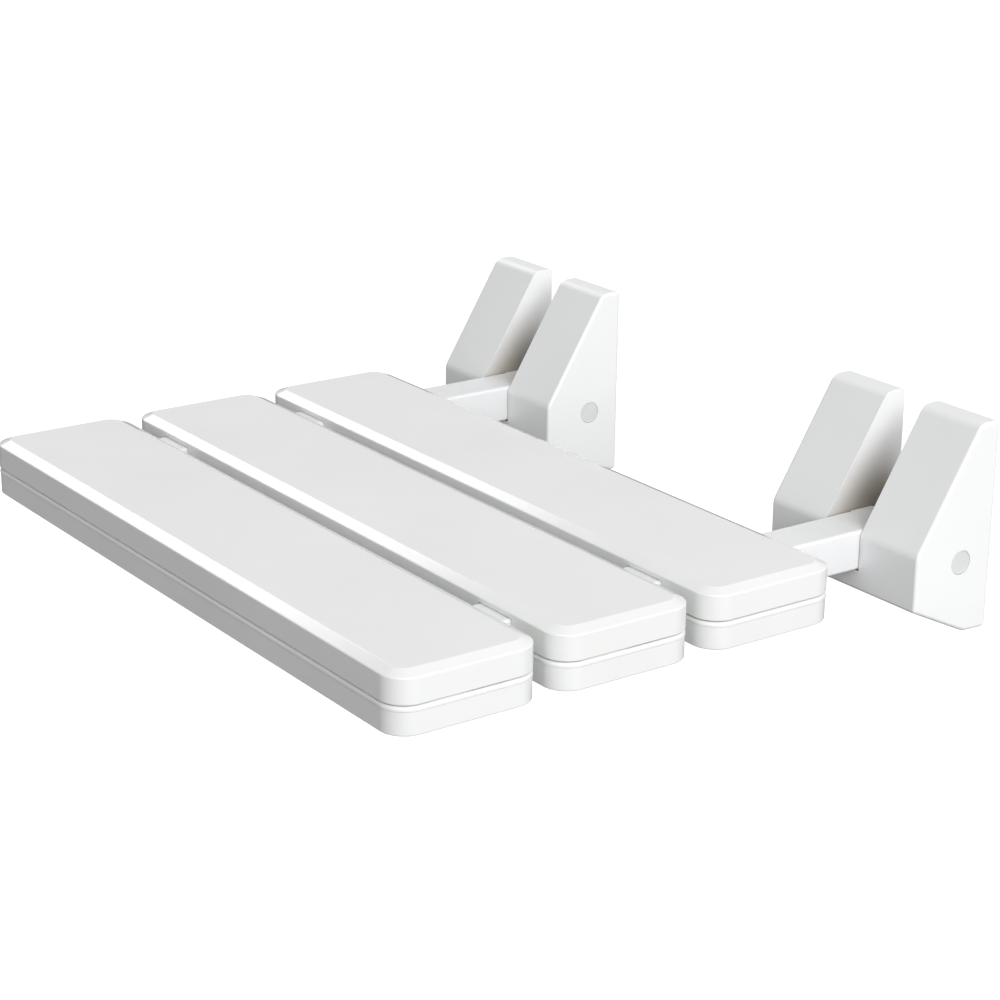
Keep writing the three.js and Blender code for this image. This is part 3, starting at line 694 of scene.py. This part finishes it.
def cover_corners():
    """The cover's side view, from the bottom of the back, up, over the top and down the front."""
    front = COVER_LOW.y
    bottom = COVER_LOW.z
    toe = -ARM_HALF_HEIGHT - WEB_HEIGHT
    return [
        (-COVER_BACK_GAP, bottom, COVER_BACK_ROUND),
        (-COVER_BACK_GAP, COVER_HIGH.z, COVER_BACK_ROUND),
        (-COVER_TOP_DEPTH, COVER_HIGH.z, COVER_CROWN_ROUND),
        (front, COVER_FRONT_TOP, COVER_KNEE_ROUND),
        (front, toe, COVER_TOE_ROUND),
        (-COVER_HEEL_DEPTH, bottom + COVER_HEEL_RISE, COVER_HEEL_ROUND),
    ]


def slot_edge(edge):
    """True on the outer edges of the arm's slot, and not on its back or its inner corners."""
    a, b = (v.co for v in edge.verts)
    across = abs(a.x - b.x) < SAME_PLACE
    on_side = across and all(abs(abs(end.x) - SLOT_HALF) < SAME_PLACE for end in (a, b))
    at_front = max(a.y, b.y) < COVER_LOW.y + SAME_PLACE
    on_web = at_front and all(abs(end.z - WEB_TOP) < SAME_PLACE for end in (a, b))
    sharp = edge.calc_face_angle(0) > SHARP_ANGLE and edge.is_convex
    return sharp and (on_side or on_web) and min(a.y, b.y) < -OVERRUN


def cap_tube_length():
    """How deep the cap's tube reaches into the cheek: to just past the nut's end of the pin."""
    pin_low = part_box("right_pivot_pin")[0].x - ARM_X
    return COVER_HALF + pin_low - 2 * GAP


def bracket_cover():
    """The moulded cover: slotted for the arm, hollow behind, with cap tubes and a pocket for the pad."""
    corners = cover_corners()
    cover = prism("cover_fine", "X", corners, (-COVER_HALF, COVER_HALF), COVER_SIDE_ROUND)
    through = (COVER_LOW.y - OVERRUN, 2 * OVERRUN)
    over_top = COVER_HIGH.z + OVERRUN
    carve(cover, [block("slot", (-SLOT_HALF, SLOT_HALF), through, (WEB_TOP, over_top))])
    round_edges(cover, slot_edge, SLOT_EDGE_ROUND, SMALL_ARC_STEPS)
    inner = inset(corners, [-OVERRUN] + [COVER_WALL] * (len(corners) - 1))
    wall = SLOT_HALF + COVER_WALL
    tools = [prism("room", "X", inner, (wall, COVER_HALF - COVER_WALL))]
    tools.append(prism("room", "X", inner, (COVER_WALL - COVER_HALF, -wall)))
    ceiling = PAD_LOW.z - GAP - COVER_WALL
    under = prism("under", "X", inner, (-wall - OVERRUN, wall + OVERRUN))
    keep = block("keep", (-COVER_HALF, COVER_HALF), through, (COVER_LOW.z - OVERRUN, ceiling))
    tools.append(carve(under, [keep], "INTERSECT"))
    plate_half = PLATE_HALF + GAP
    plate_zs = (-PLATE_BOTTOM - GAP, PLATE_NOTCH + GAP)
    tools.append(block("plate_room", (-plate_half, plate_half), (-PLATE - GAP, OVERRUN), plate_zs))
    carve(cover, tools)
    tube_in = COVER_HALF - cap_tube_length()
    tube_out = COVER_HALF - COVER_WALL / 2
    mouth_in = tube_in - OVERRUN
    mouth_out = COVER_HALF + OVERRUN
    tubes = []
    mouths = []
    for side in (-1, 1):
        tubes.append(bar("tube", CAP_RADIUS + GAP + CAP_TUBE_WALL, (side * tube_in, side * tube_out)))
        mouths.append(bar("mouth", CAP_RADIUS + CAP_GAP, (side * mouth_in, side * mouth_out)))
    carve(cover, tubes, "UNION")
    mouths.append(bar("pin_hole", PIN_RADIUS + GAP, (-wall - GAP, wall + GAP)))
    pad_half = PAD_HALF_WIDTH + GAP
    pad_ys = (PAD_LOW.y - GAP, PAD_HIGH.y + GAP)
    mouths.append(block("pocket", (-pad_half, pad_half), pad_ys, (PAD_LOW.z - GAP, WEB_TOP + OVERRUN)))
    carve(cover, mouths)
    for side, sign in SIDES.items():
        fine = place(cover, f"{side}_cover_fine", sign * ARM_X)
        dress(fine, f"{side}_bracket_cover", "brackets", "cover_plastic")
    bpy.data.objects.remove(cover)


def pivot_caps():
    """Snap-in caps: a slightly dished disc with a rounded rim, over an open skirt."""
    skirt_in = CAP_RADIUS - CAP_SKIRT
    under_disc = CAP_LENGTH - CAP_DISC
    dish_floor = CAP_LENGTH - CAP_DISH
    section = rounded(
        [
            (skirt_in, 0, 0),
            (CAP_RADIUS, 0, 0),
            (CAP_RADIUS, CAP_LENGTH, CAP_RIM),
            (CAP_RADIUS - 2 * CAP_RIM, CAP_LENGTH, CAP_DISH_ROUND),
            (CAP_RADIUS - 3 * CAP_RIM, dish_floor, CAP_DISH_ROUND),
            (0, dish_floor, 0),
        ],
        SMALL_ARC_STEPS,
        closed=False,
    )
    profile = [(p.x, p.y) for p in section]
    profile += [(0, under_disc), (skirt_in, under_disc), (skirt_in, 0)]
    cap = turned("cap_fine", profile)
    outer = Matrix.Translation((0, PIVOT.y, PIVOT.z)) @ Matrix.Rotation(math.pi / 2, 4, "Y")
    cap.data.transform(Matrix.Translation((COVER_HALF - CAP_LENGTH, 0, 0)) @ outer)
    for side, sign in SIDES.items():
        fine = place(cap, f"{side}_outer_cap_fine", sign * ARM_X, sign < 0)
        dress(fine, f"{side}_outer_cap", "brackets", "cap_plastic")
        fine = place(cap, f"{side}_inner_cap_fine", sign * ARM_X, sign > 0)
        dress(fine, f"{side}_inner_cap", "brackets", "cap_plastic")
    bpy.data.objects.remove(cap)


# ---- Arms ----

def arm_tubes():
    """Rectangular tube with rounded edges, inside and out, drilled for its screws."""
    corners = rectangle(ARM_HALF_WIDTH, ARM_HALF_HEIGHT, ARM_EDGE_ROUND)
    tube = prism("tube_fine", "Y", corners, (ARM_LOW.y, ARM_HIGH.y), ARM_END_ROUND, FILLET_STEPS)
    bore = rectangle(ARM_HALF_WIDTH - ARM_WALL, ARM_HALF_HEIGHT - ARM_WALL, ARM_BORE_ROUND)
    through = (ARM_LOW.y - OVERRUN, ARM_HIGH.y + OVERRUN)
    tools = [prism("bore", "Y", bore, through, 0, SMALL_ARC_STEPS)]
    wide = SLAT_SCREW[0] + GAP
    profile = [(0, -HOLE_REACH), (wide, -HOLE_REACH), (wide, HOLE_REACH), (0, HOLE_REACH)]
    for slat in SLATS:
        for x, y, _, _ in slat_screw_places(slat):
            if x > 0:
                hole = turned("hole", profile, SMALL_ROUND_STEPS)
                hole.data.transform(Matrix.Translation((0, y, 0)))
                tools.append(hole)
    for number in (1, 2):
        low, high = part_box(f"right_block_screw_{number}")
        tools.append(screw_hole(BLOCK_SCREW, (0, (low.y + high.y) / 2, low.z), ARM_WALL + OVERRUN))
    carve(tube, tools)
    for side, sign in SIDES.items():
        dress(place(tube, f"{side}_tube_fine", sign * ARM_X), f"{side}_arm_tube", "seat", "arm_coating")
    bpy.data.objects.remove(tube)


# ---- Fasteners ----

def threaded(radius, root, bottom, top):
    """A zigzag of thread crests and roots between two heights."""
    points = []
    for i in range(int((top - bottom) / THREAD_PITCH)):
        z = bottom + i * THREAD_PITCH
        for edge, rise in zip((radius, root, radius), THREAD_SHAPE):
            points.append((edge, z + THREAD_PITCH * rise))
    return points


def screw(name, sizes, length):
    """A countersunk screw with a cross recess and a tapped shank."""
    radius, head, height = sizes
    root = radius - THREAD_DEPTH
    shank_top = length - SCREW_POINT
    profile = [(0, 0), (head - SCREW_RIM, 0), (head, SCREW_RIM), (radius, height)]
    profile += threaded(radius, root, height + OVERRUN, shank_top)
    profile += [(root, shank_top), (0, length)]
    body = turned(name, profile, SMALL_ROUND_STEPS)
    reach = radius + CROSS_WIDTH / 2
    slot = (-CROSS_WIDTH / 2, CROSS_WIDTH / 2)
    cross = block("cross", (-reach, reach), slot, (-OVERRUN, CROSS_DEPTH))
    carve(cross, [block("cross", slot, (-reach, reach), (-OVERRUN, CROSS_DEPTH))], "UNION")
    return carve(body, [cross])


def slat_screws():
    length = slat_screw_places("front")[0][3]
    master = screw("screw_fine", SLAT_SCREW, length)
    for slat in SLATS:
        for number, (x, y, z, _) in enumerate(slat_screw_places(slat), 1):
            fine = place(master, f"{slat}_screw_{number}_fine")
            turn = Matrix.Rotation(number * SLAT_SCREW_TURN, 4, "Z")
            fine.data.transform(Matrix.Translation((x, y, z)) @ turn)
            dress(fine, f"{slat}_slat_screw_{number}", "seat", "steel")
    bpy.data.objects.remove(master)


def block_screws():
    low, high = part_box("right_block_screw_1")
    master = screw("block_screw_fine", BLOCK_SCREW, high.z - low.z)
    for side in SIDES:
        for number in (1, 2):
            low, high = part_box(f"{side}_block_screw_{number}")
            fine = place(master, f"{side}_block_screw_{number}_fine")
            middle = ((low.x + high.x) / 2, (low.y + high.y) / 2, low.z)
            turn = Matrix.Rotation(number * BLOCK_SCREW_TURN, 4, "Z")
            fine.data.transform(Matrix.Translation(middle) @ turn)
            dress(fine, f"{side}_block_screw_{number}", "seat", "steel")
    bpy.data.objects.remove(master)


def refined(node, body, finish, radius):
    """A CAD node's own shape with its triangles merged and its sharp edges rounded."""
    source = frame["nodes"][node]
    fine = new_object(f"{node}_fine", source.data.copy())
    bm = bmesh.new()
    bm.from_mesh(fine.data)
    bmesh.ops.remove_doubles(bm, verts=bm.verts, dist=CAD_WELD)
    bmesh.ops.dissolve_limit(bm, angle_limit=FLAT_ANGLE, verts=bm.verts, edges=bm.edges)
    bm.to_mesh(fine.data)
    bm.free()
    round_edges(fine, lambda e: e.calc_face_angle(0) > SHARP_ANGLE, radius, EDGE_STEPS)
    dress(fine, node, body, finish)


# ---- Studio ----

def camera():
    data = bpy.data.cameras.new("camera")
    data.lens = CAMERA_LENS
    data.sensor_width = CAMERA_SENSOR
    obj = new_object("camera", data)
    azimuth = math.radians(CAMERA_AZIMUTH)
    elevation = math.radians(CAMERA_ELEVATION)
    level = math.cos(elevation)
    back = Vector((math.sin(azimuth) * level, -math.cos(azimuth) * level, math.sin(elevation)))
    obj.location = LOOK_AT + back * CAMERA_DISTANCE
    aim = (-back).to_track_quat("-Z", "Y").to_matrix() @ Matrix.Rotation(math.radians(CAMERA_ROLL), 3, "Z")
    obj.rotation_euler = aim.to_euler()
    data.clip_start, data.clip_end = CAMERA_CLIP
    bpy.context.scene.camera = obj


def area_light(name, spot, size, power):
    data = bpy.data.lights.new(name, "AREA")
    data.shape = "RECTANGLE"
    data.size, data.size_y = size
    data.energy = power
    obj = new_object(name, data)
    obj.location = spot
    obj.rotation_euler = (LOOK_AT - spot).to_track_quat("-Z", "Y").to_euler()


def glow(nodes, links, direction, toward, edge, strength):
    """A part of the sky that brightens from nothing, where the cosine is edge, to its full strength."""
    facing = nodes.new("ShaderNodeVectorMath")
    facing.operation = "DOT_PRODUCT"
    links.new(direction, facing.inputs[0])
    facing.inputs[1].default_value = toward.normalized()
    shade = nodes.new("ShaderNodeMapRange")
    shade.inputs["From Min"].default_value = edge
    shade.inputs["From Max"].default_value = 1
    shade.inputs["To Min"].default_value = 0
    shade.inputs["To Max"].default_value = strength
    links.new(facing.outputs["Value"], shade.inputs["Value"])
    return shade.outputs["Result"]


def add(nodes, links, first, second):
    total = nodes.new("ShaderNodeMath")
    total.operation = "ADD"
    for socket, value in zip(total.inputs, (first, second)):
        if isinstance(value, float):
            socket.default_value = value
        else:
            links.new(value, socket)
    return total.outputs["Value"]


def studio():
    """A dim sky with two soft glows in it, a key lamp from the right and a lamp on the slats' bevels.
    The sky is plain white to the camera."""
    scene = bpy.context.scene
    scene.view_settings.view_transform = "Standard"
    for name, (toward, distance, size, power) in LAMPS.items():
        area_light(name, LOOK_AT + Vector(toward).normalized() * distance, size, power)
    world = bpy.data.worlds.new("studio")
    scene.world = world
    world.use_nodes = True
    nodes = world.node_tree.nodes
    links = world.node_tree.links
    direction = nodes.new("ShaderNodeTexCoord").outputs["Generated"]
    seen = nodes.new("ShaderNodeLightPath").outputs["Is Camera Ray"]
    total = add(nodes, links, seen, SKY_DIM)
    for toward, edge, strength in SKY_GLOWS:
        total = add(nodes, links, total, glow(nodes, links, direction, Vector(toward), edge, strength))
    background = nodes["Background"]
    background.inputs["Color"].default_value = WHITE
    links.new(total, background.inputs["Strength"])


def floor():
    """A pale floor, plain white to the camera and a matt grey to everything else."""
    half = FLOOR_SIZE / 2
    z = COVER_LOW.z - FLOOR_DROP
    mesh = bpy.data.meshes.new("floor")
    corners = [(x, y, z) for x, y, _ in rectangle(half, half, 0)]
    mesh.from_pydata(corners, [], [(0, 1, 2, 3)])
    obj = new_object("floor", mesh)
    material, nodes, links, shader, where = surface("floor")
    shader.inputs["Roughness"].default_value = FLOOR_ROUGHNESS
    shader.inputs["Emission Color"].default_value = WHITE
    patches = noise(nodes, links, where, FLOOR_PATCHES)
    links.new(tint(nodes, links, patches, FLOOR_DARK, FLOOR_LIGHT), shader.inputs["Base Color"])
    links.new(nodes.new("ShaderNodeLightPath").outputs["Is Camera Ray"], shader.inputs["Emission Strength"])
    mesh.materials.append(material)


# ---- Assembly ----

camera()
studio()
floor()
for slat_name in SLATS:
    upper_shell(slat_name)
    lower_shell(slat_name)
bracket_cover()
pivot_caps()
arm_tubes()
slat_screws()
block_screws()
for side_name in SIDES:
    for part, (part_body, part_finish, edge_round) in REFINED.items():
        refined(f"{side_name}_{part}", part_body, part_finish, edge_round)
